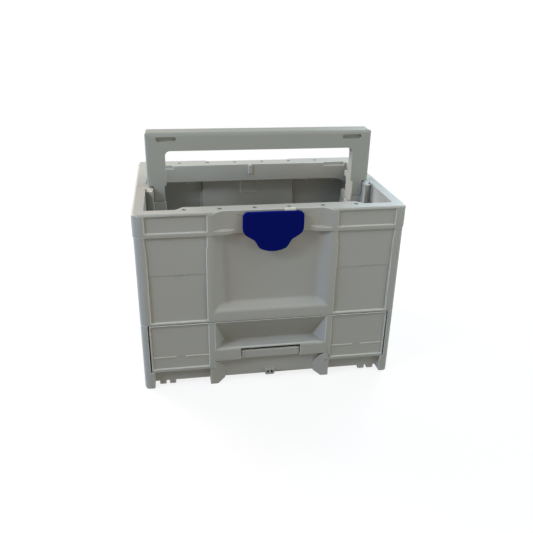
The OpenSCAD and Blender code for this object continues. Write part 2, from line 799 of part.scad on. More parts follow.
// The slanting cut on a leg's rear inner edge, or grown by a wall
module leg_edge_cut(grow = 0) {
    both_sides() prism_z(leg_foot_z + foot_bar - grow, bar_z + grow) polygon([
        [leg_in - eps, split_y - grow], [leg_in + grow, split_y - grow], [leg_in + grow, split_y],
        [leg_in + leg_cut + 1.6 * grow, handle_y[1]], [leg_in + leg_cut + 1.6 * grow, handle_y[1] + eps],
        [leg_in - eps, handle_y[1] + eps]
    ]);
}

module handle_blank() {
    intersection() {
        prism_y(handle_y[0], handle_y[1]) handle_face();
        prism_x(-handle_x, handle_x) {
            rounded([handle_y[0], pivot_z], [handle_y[1], handle_top], bar_r);
        }
        prism_z(pivot_z, handle_top) {
            rounded([-handle_x, handle_y[0]], [handle_x, handle_y[1]], leg_edge_r);
        }
    }
    both_sides() prism_x(hub_in, hub_out) leg_end();
}

module handle_bosses(y_lo, y_hi) {
    both_sides() for (at = handle_screw_at) rod_y(y_lo, y_hi, at[0], at[1], handle_boss_r);
}

module pin_bores() {
    both_sides() rod_x(pin_in - 0.5, hub_out + eps, 0, pivot_z, pin_r + run_gap);
}

module handle_front_shell() {
    color(handle_grey)
    difference() {
        union() {
            difference() {
                intersection() {
                    handle_blank();
                    box([-hx, handle_y[0] - eps, 0], [hx, split_y, handle_top + eps]);
                }
                prism_y(handle_y[0] + handle_wall, split_y + eps) handle_face(handle_wall);
            }
            handle_bosses(handle_y[0] + 1, split_y);
            // Housings behind the slots
            both_sides() {
                box([handle_slot_x[0] - 2, handle_y[0] + 1, handle_slot_z[0] - 2],
                    [handle_slot_x[1] + 2, handle_y[0] + handle_slot_d + 2, handle_slot_z[1] + 2]);
            }
        }
        both_sides() for (at = handle_screw_at) rod_y(split_y - handle_screw_grip - 1, split_y + eps, at[0], at[1], screw_r);
        // Long slots near the ends of the bar
        both_sides() prism_y(handle_y[0] - eps, handle_y[0] + handle_slot_d) {
            rounded([handle_slot_x[0], handle_slot_z[0]], [handle_slot_x[1], handle_slot_z[1]],
                (handle_slot_z[1] - handle_slot_z[0]) / 2 - 0.1);
        }
        pin_bores();
    }
}

module handle_rear_shell() {
    color(handle_grey)
    difference() {
        union() {
            difference() {
                intersection() {
                    handle_blank();
                    box([-hx, split_y, 0], [hx, handle_y[1] + eps, handle_top + eps]);
                }
                difference() {
                    prism_y(split_y - eps, handle_y[1] - handle_wall) handle_face(handle_wall);
                    leg_edge_cut(handle_wall);
                }
                leg_edge_cut();
            }
            handle_bosses(split_y, handle_y[1] - 1);
        }
        both_sides() for (at = handle_screw_at) {
            rod_y(split_y - eps, handle_y[1] + eps, at[0], at[1], screw_r + 0.3);
            rod_y(handle_y[1] - 4, handle_y[1] + eps, at[0], at[1], head_r + 0.3);
        }
        pin_bores();
    }
}

module handle_screws() {
    color(steel)
    both_sides() for (at = handle_screw_at) {
        translate([at[0], handle_y[1] - 4, at[1]]) rotate([-90, 0, 0]) screw(handle_y[1] - 4 - split_y + handle_screw_grip);
    }
}

// The bracket that carries one leg: a cheek on the rim's inner skirt, a lug
// in the deck and a cup round the leg's heel
module handle_bracket() {
    difference() {
        union() {
            prism_z(cup_bottom, rim_top - bracket_top_t) polygon([
                [cheek_x, bracket_y[0]], [cheek_x + bracket_nose, bracket_y[0]],
                [open_x, bracket_y[0] + bracket_slant], [open_x, bracket_y[1]], [cheek_x, bracket_y[1]]
            ]);
            prism_z(rim_top - bracket_top_t, rim_top) bracket_plan(lug_back);
            box([cup_in, handle_y[0], cup_bottom], [cheek_x + 1, cup_back, cup_floor]);
            box([cup_in, handle_y[0], cup_bottom], [cheek_x + 1, handle_y[0] + 3.8, heel_z - heel_gap]);
        }
        rod_x(cheek_x - eps, open_x + eps, 0, pivot_z, pin_r + 0.03);
        for (at = bracket_screw_at) {
            rod_x(cheek_x - eps, open_x + eps, at[0], at[1], screw_r + 0.3);
            rod_x(cheek_x - eps, cheek_x + head_h + 0.5, at[0], at[1], head_r + 0.3);
        }
    }
}

module left_handle_bracket() color(case_grey) mirror([1, 0, 0]) handle_bracket();
module right_handle_bracket() color(case_grey) handle_bracket();

module bracket_screws() {
    seat = cheek_x + head_h + 0.5;
    color(steel)
    both_sides() for (at = bracket_screw_at) {
        translate([seat, at[0], at[1]]) rotate([0, -90, 0]) screw(hx - rim_skin - 2 - seat);
    }
}

module pivot_pin() rod_x(pin_in, pin_out, 0, pivot_z, pin_r);
module left_pivot_pin() color(steel) mirror([1, 0, 0]) pivot_pin();
module right_pivot_pin() color(steel) pivot_pin();

// ---------------------------------------------------------------- latch

// The blade's right half, seen from the front: round at its top corner, side and tip
module blade_half() {
    top = latch_z + latch_up;
    side = lobe_at + lobe_r * [cos(lobe_turn), -sin(lobe_turn)];
    tongue = tongue_at + tongue_r * [cos(tongue_turn), -sin(tongue_turn)];
    translate([blade_x - blade_r, top - blade_r]) circle(blade_r);
    translate(lobe_at) circle(lobe_r);
    translate(tongue_at) circle(tongue_r);
    polygon([
        [-eps, top], [blade_x - blade_r, top], [blade_x, top - blade_r], [blade_x, lobe_at[1]],
        side, shoulder_at, tongue, tongue_at, [-eps, tongue_at[1]]
    ]);
}

module blade_face() {
    blade_half();
    mirror([1, 0]) blade_half();
    // Round end of the tongue, between its corners
    intersection() {
        translate([0, tip_z]) circle(tip_r);
        polygon([
            [0, tip_z], [-2 * tongue_x, 2 * tongue_at[1] - tip_z], [2 * tongue_x, 2 * tongue_at[1] - tip_z]
        ]);
    }
}

module latch_blade() {
    color(latch_blue)
    difference() {
        union() {
            prism_y(blade_front, blade_back) blade_face();
            rod_y(blade_back - 1, wall_back + 0.05, 0, latch_z, spindle_r);
        }
        rod_y(blade_front + 1.5, wall_back + eps, 0, latch_z, latch_screw_r);
    }
}

// The light hook plate behind the blade, whose end shows over its top edge
module latch_hook_plate() {
    color(tab_white)
    prism_y(blade_back, plate_back) difference() {
        union() {
            translate([0, latch_z]) circle(plate_r);
            rounded([tab_x[0], latch_z], [tab_x[1], tab_top], 1);
        }
        translate([0, latch_z]) circle(spindle_r + 0.03);
    }
}

module latch_retainer() {
    color(steel)
    difference() {
        rod_y(wall_back + 0.05, wall_back + 0.05 + retainer_t, 0, latch_z, retainer_r);
        rod_y(wall_back - eps, wall_back + retainer_t + eps, 0, latch_z, latch_screw_r + 0.2);
        // Shallow notches that the detent spring clicks into
        for (turn = [0, 90]) translate([0, 0, latch_z]) rotate([0, turn, 0]) for (s = [-1, 1]) {
            rod_y(wall_back - eps, wall_back + 2 * retainer_t, s * (retainer_r + 1), 0, 2);
        }
    }
}

module latch_screw() {
    seat = wall_back + 0.05 + retainer_t;
    color(steel)
    translate([0, seat, latch_z]) rotate([-90, 0, 0]) screw(seat - blade_front - 2.5, latch_screw_r);
}

// Flat springs on the rim's wall that click into the retainer's notches
module latch_detent_spring() {
    x = retainer_r + slide_gap;
    color(steel)
    both_sides() {
        box([x, wall_back, latch_z - 8], [x + 0.8, wall_back + 5, latch_z + 6]);
        box([x, wall_back, latch_z - 8], [x + 7, wall_back + 0.8, latch_z + 6]);
    }
}

// ---------------------------------------------------------------- drawer

// The finger scoop: its back wall slopes in from the seam to the lip's shelf
module scoop(grow = 0) {
    run = (pilaster_in - 15 * scoop_d / 22) - pilaster_in;
    intersection() {
        prism_z(pull_top - 10, bay_h + 10) polygon([
            [-pilaster_in - grow, -by - eps], [-pilaster_in - grow, -by],
            [-pilaster_in - run - grow, scoop_back + grow], [pilaster_in + run + grow, scoop_back + grow],
            [pilaster_in + grow, -by], [pilaster_in + grow, -by - eps]
        ]);
        prism_x(-pilaster_in - grow, pilaster_in + grow) polygon([
            [-by - eps, front_top + grow], [-by + grow, front_top + grow],
            [scoop_back + grow, pull_top + 4.5], [scoop_back + grow, pull_top + 3.5 - grow],
            [-by, pull_top - grow], [-by - eps, pull_top - grow]
        ]);
    }
}

module drawer_front() {
    panel_z = [front_bottom + 5.2, front_top - 1.8];
    rib_z = front_bottom + 24.5;
    color(case_grey)
    difference() {
        union() {
            difference() {
                prism_y(-by, front_back) polygon([
                    [-front_x, front_bottom], [-pilaster_in - 1.5, front_bottom], [-pilaster_in - 1.5, pull_bottom],
                    [pilaster_in + 1.5, pull_bottom], [pilaster_in + 1.5, front_bottom], [front_x, front_bottom],
                    [front_x, front_top], [-front_x, front_top]
                ]);
                both_sides() box([pilaster_out + 0.5, -by - eps, panel_z[0]], [front_x - 1.6, -by + front_panel_d, panel_z[1]]);
            }
            both_sides() for (x = [[pilaster_out + 0.5, drawer_line_gap[0]], [drawer_line_gap[1], front_x - 1.6]]) {
                box([x[0], -by + front_panel_d - 0.8, rib_z], [x[1], -by + front_panel_d + 0.5, rib_z + line_h]);
            }
            // Wall round the scoop, and the lip below it
            intersection() {
                scoop(wall);
                box([-pilaster_in - wall, -by + 1, pull_bottom], [pilaster_in + wall, housing_back, front_top]);
            }
            box([-pilaster_in - 1, -by, pull_bottom], [pilaster_in + 1, housing_back, pull_top]);
            both_sides() for (at = tray_screw_at) rod_y(front_back - 1, flange_y, at[0], at[1], 4);
        }
        scoop();
        // Round along the lip's front edge
        prism_x(-pilaster_in, pilaster_in) difference() {
            translate([-by - eps, pull_top - lip_r]) square(lip_r + eps);
            translate([-by + lip_r, pull_top - lip_r]) circle(lip_r);
        }
        // Pocket behind the lip, and the window of the release slide
        box([-pocket_x, pocket_y[0], pull_bottom - eps], [pocket_x, pocket_y[1], pocket_top]);
        box([-window_x, -by - eps, pull_bottom - eps], [window_x, release_face + release_t + slide_gap, window_top]);
        both_sides() box([pocket_x + 3, pocket_y[0], pull_bottom - eps], [pilaster_in - 3, pocket_y[1], pocket_top]);
        both_sides() for (at = tray_screw_at) rod_y(front_back - 2, flange_y + eps, at[0], at[1], screw_r);
    }
    // Posts for the release cover's screws
    color(case_grey)
    both_sides() difference() {
        translate([release_screw_x, release_screw_y, cover_z + cover_t]) {
            cylinder(h = pocket_top - cover_z - cover_t + 0.5, r = 3.8);
        }
        translate([release_screw_x, release_screw_y, cover_z]) cylinder(h = release_screw_l + 2, r = screw_r);
    }
}

module drawer_tray() {
    floor_t = tray_wall;
    color(case_grey)
    difference() {
        union() {
            box([-tray_x, front_back, tray_bottom], [tray_x, tray_back, tray_top]);
            // Tongues that run in the runners
            both_sides() box([tray_x - 0.5, tongue_y[0], rail_z[0]], [tongue_out, tongue_y[1], rail_z[1]]);
            // Lugs that meet the stops
            both_sides() box([tray_x - 0.5, lug_y, runner_z[1] + slide_gap], [tray_x + 5, lug_y + 8, runner_z[1] + stop_h]);
        }
        box([-tray_x + tray_wall, front_back - eps, tray_bottom + floor_t],
            [tray_x - tray_wall, tray_back - tray_wall, tray_top + eps]);
        // Room for the scoop's housing
        box([-pilaster_in - wall - 0.5, front_back - eps, tray_bottom - eps],
            [pilaster_in + wall + 0.5, housing_back + 0.1, tray_top + eps]);
    }
    // Flanges that the drawer front is screwed to
    color(case_grey)
    both_sides() difference() {
        box([tray_x - 17, flange_y, tray_bottom + 1], [tray_x - 1, flange_y + tray_wall, tray_top - 1]);
        for (at = tray_screw_at) rod_y(flange_y - eps, flange_y + 2 * tray_wall, at[0], at[1], screw_r + 0.3);
    }
}

module drawer_front_screws() {
    color(steel)
    both_sides() for (at = tray_screw_at) {
        translate([at[0], flange_y + tray_wall, at[1]]) rotate([-90, 0, 0]) screw(tray_wall + 7);
    }
}

// ---------------------------------------------------------------- release

module release_slide() {
    color(case_grey)
    union() {
        prism_x(-release_w / 2, release_w / 2) polygon([
            [release_face, pull_bottom + 0.6], [release_face + release_t, pull_bottom + 0.6],
            [release_face + release_t, pull_bottom + 14.5], [release_face + release_t - 0.8, pull_bottom + 14.5],
            [release_face, pull_bottom + 13]
        ]);
        both_sides() {
            box([arm_x - 4.5, release_face + 1, arm_z[0]], [arm_x + 4.5, hook_y + 4.5, arm_z[1]]);
            box([arm_x - 4.5, hook_y, pull_bottom + 0.1], [arm_x + 4.5, hook_y + 4, arm_z[1]]);
        }
    }
}

module release_cover() {
    color(guide_grey)
    difference() {
        box([-pocket_x + 0.5, pocket_y[0] + 3.4, cover_z], [pocket_x - 0.5, pocket_y[1] - 0.3, cover_z + cover_t]);
        both_sides() {
            box([arm_x - 5.5, hook_y - 1, cover_z - eps], [arm_x + 5.5, hook_y + 5, cover_z + cover_t + eps]);
            translate([release_screw_x, release_screw_y, cover_z - eps]) cylinder(h = 2 * cover_t + eps, r = screw_r + 0.3);
            translate([release_screw_x, release_screw_y, cover_z - eps]) cylinder(h = eps + 1, r = head_r + 0.2);
        }
    }
}

module release_screws() {
    color(steel)
    both_sides() translate([release_screw_x, release_screw_y, cover_z + 1]) rotate([180, 0, 0]) {
        translate([0, 0, -release_screw_l]) cylinder(h = release_screw_l, r = screw_r - 0.03);
        cylinder(h = 0.9, r = head_r);
    }
}

// Return springs between the slide's arms and the pocket's roof
module release_springs() {
    color(steel)
    both_sides() translate([arm_x, hook_y + 1, arm_z[1]]) {
        difference() {
            cylinder(h = pocket_top - arm_z[1], r = 3);
            translate([0, 0, -eps]) cylinder(h = pocket_top, r = 2.2);
        }
    }
}

// ---------------------------------------------------------------- nodes

rim_frame();
upper_box();
base_carcass();
rim_screws();
floor_screws();
left_handle_bracket();
right_handle_bracket();
bracket_screws();
left_pivot_pin();
right_pivot_pin();
latch_detent_spring();
coupling_eyelet();
left_runner();
right_runner();
runner_screws();
drawer_stops();
handle_front_shell();
handle_rear_shell();
handle_screws();
latch_blade();
latch_hook_plate();
latch_retainer();
latch_screw();
drawer_front();
drawer_tray();
drawer_front_screws();
release_cover();
release_screws();
release_springs();
release_slide();
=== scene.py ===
"""Looks of a stacking tool case with a folding handle, a turning latch and a base drawer.

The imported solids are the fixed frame. Each plastic piece is shown by an edge-rounded copy of its
solid, the outer edge of the upper front panels lies a little further out than the solid's, the
return springs are wound here, and every piece gets a procedural finish.
"""

from __future__ import annotations

import json
import logging
import math
from dataclasses import dataclass, field
from enum import Enum
from typing import Any

import bpy
from mathutils import Matrix, Vector
from mathutils.bvhtree import BVHTree

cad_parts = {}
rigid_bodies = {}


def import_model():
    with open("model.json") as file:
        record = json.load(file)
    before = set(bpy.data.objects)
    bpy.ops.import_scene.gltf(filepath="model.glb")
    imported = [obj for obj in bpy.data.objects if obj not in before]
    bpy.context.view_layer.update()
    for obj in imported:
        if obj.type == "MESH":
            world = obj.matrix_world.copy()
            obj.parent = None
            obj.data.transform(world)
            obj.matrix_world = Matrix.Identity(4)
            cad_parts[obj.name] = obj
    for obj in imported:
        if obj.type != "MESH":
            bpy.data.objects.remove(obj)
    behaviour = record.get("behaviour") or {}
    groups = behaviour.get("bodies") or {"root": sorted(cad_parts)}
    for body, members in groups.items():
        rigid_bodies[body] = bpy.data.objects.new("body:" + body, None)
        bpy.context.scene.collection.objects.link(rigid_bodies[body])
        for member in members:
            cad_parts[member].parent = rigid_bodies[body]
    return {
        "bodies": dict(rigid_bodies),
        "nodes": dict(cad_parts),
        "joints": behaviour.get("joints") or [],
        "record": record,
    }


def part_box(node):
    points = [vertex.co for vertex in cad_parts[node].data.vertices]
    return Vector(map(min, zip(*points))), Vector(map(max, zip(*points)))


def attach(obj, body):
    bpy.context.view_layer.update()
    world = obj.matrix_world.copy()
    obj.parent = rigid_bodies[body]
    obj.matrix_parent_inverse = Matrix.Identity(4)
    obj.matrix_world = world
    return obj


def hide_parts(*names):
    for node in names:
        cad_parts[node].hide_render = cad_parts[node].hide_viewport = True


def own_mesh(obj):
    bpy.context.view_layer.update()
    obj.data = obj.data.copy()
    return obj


LOG = logging.getLogger("tool_case")
MM = 0.001

MERGE_DISTANCE = 0.005 * MM
FLAT_ANGLE = math.radians(0.8)
SHARP_ANGLE = math.radians(12)
SMOOTH_ANGLE = math.radians(32)
ROUNDED_ANGLE = math.radians(34)

Colour = tuple[float, float, float]
Value = Any


# ---------------------------------------------------------------- shader maths


class Sock:
    """An output socket that takes part in Python expressions."""

    def __init__(self, graph: "Graph", socket: bpy.types.NodeSocket) -> None:
        """Keeps the socket and the graph that it belongs to.

        Args:
            graph: The material's node graph.
            socket: The output socket.
        """
        self.graph = graph
        self.socket = socket

    def _math(self, operation: str, first: Value, second: Value) -> "Sock":
        """Adds a Math node.

        Args:
            operation: The Math node's operation.
            first: Its first value or socket.
            second: Its second value or socket.

        Returns:
            The node's result.
        """
        return self.graph.add("ShaderNodeMath", {"operation": operation}, {0: first, 1: second})

    def __add__(self, other: Value) -> "Sock":
        """Returns self + other."""
        return self._math("ADD", self, other)

    def __radd__(self, other: Value) -> "Sock":
        """Returns other + self."""
        return self._math("ADD", other, self)

    def __sub__(self, other: Value) -> "Sock":
        """Returns self - other."""
        return self._math("SUBTRACT", self, other)

    def __rsub__(self, other: Value) -> "Sock":
        """Returns other - self."""
        return self._math("SUBTRACT", other, self)

    def __mul__(self, other: Value) -> "Sock":
        """Returns self * other."""
        return self._math("MULTIPLY", self, other)

    def __rmul__(self, other: Value) -> "Sock":
        """Returns other * self."""
        return self._math("MULTIPLY", other, self)

    def band(self, low: float, high: float) -> "Sock":
        """Maps low..high to 0..1 with soft ends.

        Args:
            low: The value that becomes 0.
            high: The value that becomes 1.

        Returns:
            The mapped value.
        """
        return self.graph.add(
            "ShaderNodeMapRange",
            {"interpolation_type": "SMOOTHSTEP"},
            {"Value": self, "From Min": low, "From Max": high},
        )


class Graph:
    """A material's node graph, built from expressions."""

    def __init__(self, name: str) -> None:
        """Makes an empty material.

        Args:
            name: The material's name.
        """
        self.material = bpy.data.materials.new(name)
        self.material.use_nodes = True
        self.tree = self.material.node_tree
        self.tree.nodes.clear()
        self.place = self.add("ShaderNodeTexCoord", output="Object")

    def add(
        self,
        kind: str,
        settings: dict[str, Value] | None = None,
        inputs: dict[int | str, Value] | None = None,
        output: int | str = 0,
    ) -> Sock:
        """Adds one node.

        Args:
            kind: The node's type name.
            settings: Properties that are set first.
            inputs: Values or sockets for its inputs, by name or number.
            output: The output that is returned.

        Returns:
            The chosen output.
        """
        node = self.tree.nodes.new(kind)
        for key, value in (settings or {}).items():
            setattr(node, key, value)
        for key, value in (inputs or {}).items():
            if isinstance(value, Sock):
                self.tree.links.new(value.socket, node.inputs[key])
            else:
                node.inputs[key].default_value = value
        return Sock(self, node.outputs[output])

    def noise(self, size: float, detail: float = 2.0, stretch: Colour = (1, 1, 1)) -> Sock:
        """Adds noise on object coordinates.

        Args:
            size: The pattern's size, in metres.
            detail: How many finer layers it has.
            stretch: How much the pattern is compressed along each axis.

        Returns:
            The noise, from 0 to 1.
        """
        place = self.place
        if stretch != (1, 1, 1):
            place = self.add("ShaderNodeMapping", None, {"Vector": place, "Scale": stretch})
        return self.add(
            "ShaderNodeTexNoise",
            None,
            {"Vector": place, "Scale": 1.0 / size, "Detail": detail, "Roughness": 0.55},
        )

    def mix(self, factor: Value, first: Value, second: Value) -> Sock:
        """Mixes two colours.

        Args:
            factor: 0 for the first colour, 1 for the second.
            first: The first colour or socket.
            second: The second colour or socket.

        Returns:
            The mixed colour.
        """
        colours = [(*c, 1.0) if isinstance(c, tuple) else c for c in (first, second)]
        return self.add(
            "ShaderNodeMix",
            {"data_type": "RGBA"},
            {0: factor, 6: colours[0], 7: colours[1]},
            output=2,
        )

    def bump(self, height: Value, distance: float, strength: float = 1.0) -> Sock:
        """Adds a Bump node.

        Args:
            height: The height, from 0 to 1.
            distance: The height in metres that 1 stands for.
            strength: The share of it that shows.

        Returns:
            The bumped normal.
        """
        return self.add(
            "ShaderNodeBump", None, {"Height": height, "Distance": distance, "Strength": strength}
        )

    def surface(self, inputs: dict[int | str, Value]) -> bpy.types.Material:
        """Closes the graph with a Principled shader.

        Args:
            inputs: Values or sockets for the shader.

        Returns:
            The finished material.
        """
        shader = self.add("ShaderNodeBsdfPrincipled", None, inputs)
        output = self.tree.nodes.new("ShaderNodeOutputMaterial")
        self.tree.links.new(shader.socket, output.inputs["Surface"])
        return self.material


def scaled(colour: Colour, share: float) -> Colour:
    """Returns the colour made lighter or darker by a share."""
    return tuple(min(1.0, c * share) for c in colour)


@dataclass(frozen=True)
class MouldedPlastic:
    """Fine-grained injection-moulded plastic with faint clouding and handling marks."""

    name: str
    colour: Colour
    roughness: float = 0.52
    specular: float = 0.36
    grain_size: float = 0.9 * MM
    grain_depth: float = 0.02 * MM
    clouding: float = 0.05
    scuffs: float = 0.10
    # Share by which the rounded edges are lighter: partly real wear, partly a painted highlight where light
    # catches the edges.
    edge_wear_and_highlight_tone: float = 1.5
    edge_polish: float = 0.12
    cloud_size: float = 0.09
    speck_size: float = 2.4 * MM
    speck_share: float = 0.12
    rub_size: float = 0.012
    rub_stretch: Colour = (0.35, 1.0, 2.2)
    wave_size: float = 0.035
    wave_depth: float = 0.12 * MM

    def make(self, worn_and_highlit: bool = False) -> bpy.types.Material:
        """Makes the finish, or the paler, smoother one of its edges.

        Args:
            worn_and_highlit: Whether it is the finish of the rounded edges, made paler partly by wear and
                partly by a painted highlight.

        Returns:
            The material.
        """
        # The edge colour is made paler: partly wear, partly a painted highlight along the rounded edges.
        colour = scaled(self.colour, self.edge_wear_and_highlight_tone) if worn_and_highlit else self.colour
        graph = Graph(f"{self.name}_edge" if worn_and_highlit else self.name)
        cloud = graph.noise(self.cloud_size, 3.0)
        speck = graph.noise(self.speck_size, 2.0)
        rubs = graph.noise(self.rub_size, 4.0, stretch=self.rub_stretch).band(0.60, 0.78)
        tone = graph.mix(cloud, scaled(colour, 1 - self.clouding), scaled(colour, 1 + self.clouding))
        tone = graph.mix(speck * self.speck_share, tone, scaled(colour, 0.86))
        tone = graph.mix(rubs * self.scuffs, tone, scaled(colour, 1.18))
        grain = graph.noise(self.grain_size, 3.0)
        waves = graph.noise(self.wave_size, 1.0)
        fine = graph.bump(grain, self.grain_depth)
        normal = graph.add(
            "ShaderNodeBump",
            None,
            {"Height": waves, "Distance": self.wave_depth, "Strength": 0.5, "Normal": fine},
        )
        polish = self.edge_polish if worn_and_highlit else 0.0
        rough = self.roughness - polish + (cloud - 0.5) * 0.12 - rubs * 0.08
        return graph.surface(
            {
                "Base Color": tone,
                "Roughness": rough,
                "Normal": normal,
                "Specular IOR Level": self.specular,
            }
        )


@dataclass(frozen=True)
class ZincSteel:
    """Bright zinc-plated steel with drawn lines."""

    name: str
    colour: Colour = (0.62, 0.63, 0.65)
    roughness: float = 0.34
    line_size: float = 1.2 * MM
    line_depth: float = 0.008 * MM
    cloud_size: float = 6.0 * MM

    def make(self, worn_and_highlit: bool = False) -> bpy.types.Material:
        """Makes the finish; its edges are as bright as its faces.

        Args:
            worn_and_highlit: Not used, because a plated edge doesn't pale.

        Returns:
            The material.
        """
        graph = Graph(self.name)
        lines = graph.noise(self.line_size, 3.0, stretch=(1.0, 1.0, 6.0))
        cloud = graph.noise(self.cloud_size, 2.0)
        tone = graph.mix(cloud, scaled(self.colour, 0.88), scaled(self.colour, 1.06))
        return graph.surface(
            {
                "Base Color": tone,
                "Metallic": 1.0,
                "Roughness": self.roughness + (lines - 0.5) * 0.2,
                "Normal": graph.bump(lines, self.line_depth),
            }
        )


class Finish(Enum):
    """The finishes of the case's pieces."""

    CASE = MouldedPlastic("light_grey_case", (0.386, 0.388, 0.366))
    HANDLE = MouldedPlastic("light_grey_handle", (0.32, 0.329, 0.303), roughness=0.46, clouding=0.04)
    GUIDE = MouldedPlastic("dark_grey_guide", (0.05, 0.052, 0.056), roughness=0.4, scuffs=0.2)
    LATCH = MouldedPlastic(
        "deep_blue_latch",
        (0.0, 0.004, 0.125),
        roughness=0.42,
        specular=0.05,
        grain_depth=0.01 * MM,
        clouding=0.10,
        scuffs=0.03,
    )
    TAB = MouldedPlastic("off_white_hook", (0.80, 0.78, 0.66), roughness=0.45, scuffs=0.03, edge_wear_and_highlight_tone=1.05)
    STEEL = ZincSteel("zinc_steel")

    def material(self, worn_and_highlit: bool = False) -> bpy.types.Material:
        """Returns the finish's material, or that of its edges, made once.

        Args:
            worn_and_highlit: Whether it is the finish of the rounded edges, made paler partly by wear and
                partly by a painted highlight.

        Returns:
            The material.
        """
        name = f"{self.value.name}_edge" if worn_and_highlit else self.value.name
        return bpy.data.materials.get(name) or self.value.make(worn_and_highlit)


# ---------------------------------------------------------------- mesh tools


def select_only(piece: bpy.types.Object) -> None:
    """Selects one object and makes it active.

    Args:
        piece: The object.
    """
    bpy.ops.object.select_all(action="DESELECT")
    piece.select_set(True)
    bpy.context.view_layer.objects.active = piece


def apply_modifier(piece: bpy.types.Object, kind: str, **settings: Value) -> None:
    """Adds a modifier to a piece and applies it.

    Args:
        piece: The piece.
        kind: The modifier's type.
        settings: Its properties.
    """
    select_only(piece)
    modifier = piece.modifiers.new(kind.lower(), kind)
    for key, value in settings.items():
        setattr(modifier, key, value)
    bpy.ops.object.modifier_apply(modifier=modifier.name)


def split_many_sided(piece: bpy.types.Object) -> None:
    """Splits faces of more than four sides, so that no face can fold when its edges are rounded.

    Args:
        piece: The piece, which is active and alone selected.
    """
    bpy.ops.object.mode_set(mode="EDIT")
    bpy.ops.mesh.select_mode(type="FACE")
    bpy.ops.mesh.select_all(action="DESELECT")
    bpy.ops.mesh.select_face_by_sides(number=4, type="GREATER")
    bpy.ops.mesh.quads_convert_to_tris(quad_method="BEAUTY", ngon_method="BEAUTY")
    bpy.ops.object.mode_set(mode="OBJECT")


def surface_of(piece: bpy.types.Object) -> BVHTree:
    """Returns the piece's surface as it is now, for finding its nearest points.

    Args:
        piece: The piece.

    Returns:
        The surface.
    """
    mesh = piece.data
    return BVHTree.FromPolygons([v.co for v in mesh.vertices], [f.vertices[:] for f in mesh.polygons])


def pull_back(piece: bpy.types.Object, surface: BVHTree, reach: float) -> None:
    """Puts corners that rounding threw off a surface back on it.

    Args:
        piece: The rounded piece.
        surface: Its surface before the rounding.
        reach: How far a corner may be from it, in metres.
    """
    for corner in piece.data.vertices:
        spot, _, _, distance = surface.find_nearest(corner.co)
        if distance > reach:
            corner.co = spot


@dataclass(frozen=True)
class SoftZone:
    """A box, in millimetres; edges with their middle in it are rounded more widely."""

    low: Colour
    high: Colour
    width: float
    segments: int = 4

    def holds(self, point: Vector) -> bool:
        """Returns whether a point lies in the box.

        Args:
            point: The point, in metres.

        Returns:
            True if it does.
        """
        return all(a * MM <= p <= b * MM for a, p, b in zip(self.low, point, self.high))

    def soften(self, piece: bpy.types.Object) -> None:
        """Rounds the piece's sharp edges whose middle lies in the box.

        Args:
            piece: The piece, which is active and alone selected.
        """
        bpy.ops.object.mode_set(mode="EDIT")
        bpy.ops.mesh.select_mode(type="EDGE")
        bpy.ops.mesh.select_all(action="DESELECT")
        bpy.ops.mesh.edges_select_sharp(sharpness=SHARP_ANGLE)
        bpy.ops.object.mode_set(mode="OBJECT")
        mesh = piece.data
        ends = [[mesh.vertices[index].co for index in edge.vertices] for edge in mesh.edges]
        chosen = [e.select and self.holds((a + b) / 2) for e, (a, b) in zip(mesh.edges, ends)]
        mesh.vertices.foreach_set("select", [False] * len(mesh.vertices))
        mesh.polygons.foreach_set("select", [False] * len(mesh.polygons))
        mesh.edges.foreach_set("select", chosen)
        bpy.ops.object.mode_set(mode="EDIT")
        bpy.ops.mesh.bevel(offset=self.width, segments=self.segments, affect="EDGES", clamp_overlap=True)
        bpy.ops.object.mode_set(mode="OBJECT")
        LOG.info("%s: %d soft edges", piece.name, sum(chosen))


@dataclass(frozen=True)
class Nudge:
    """A box, in millimetres, whose corners move by a few millimetres; the left side mirrors it."""

    low: Colour
    high: Colour
    move: Colour

    def shift(self, piece: bpy.types.Object) -> None:
        """Moves the piece's corners that lie in the box or in its mirror image.

        Args:
            piece: The piece, which is active and alone selected.
        """
        for side in (1, -1):
            bpy.ops.object.mode_set(mode="EDIT")
            bpy.ops.mesh.select_mode(type="VERT")
            bpy.ops.mesh.select_all(action="DESELECT")
            bpy.ops.object.mode_set(mode="OBJECT")
            for corner in piece.data.vertices:
                place = (side * corner.co.x, corner.co.y, corner.co.z)
                corner.select = all(a * MM <= p <= b * MM for a, p, b in zip(self.low, place, self.high))
            bpy.ops.object.mode_set(mode="EDIT")
            across, back, up = (part * MM for part in self.move)
            bpy.ops.transform.translate(value=(side * across, back, up))
            bpy.ops.object.mode_set(mode="OBJECT")


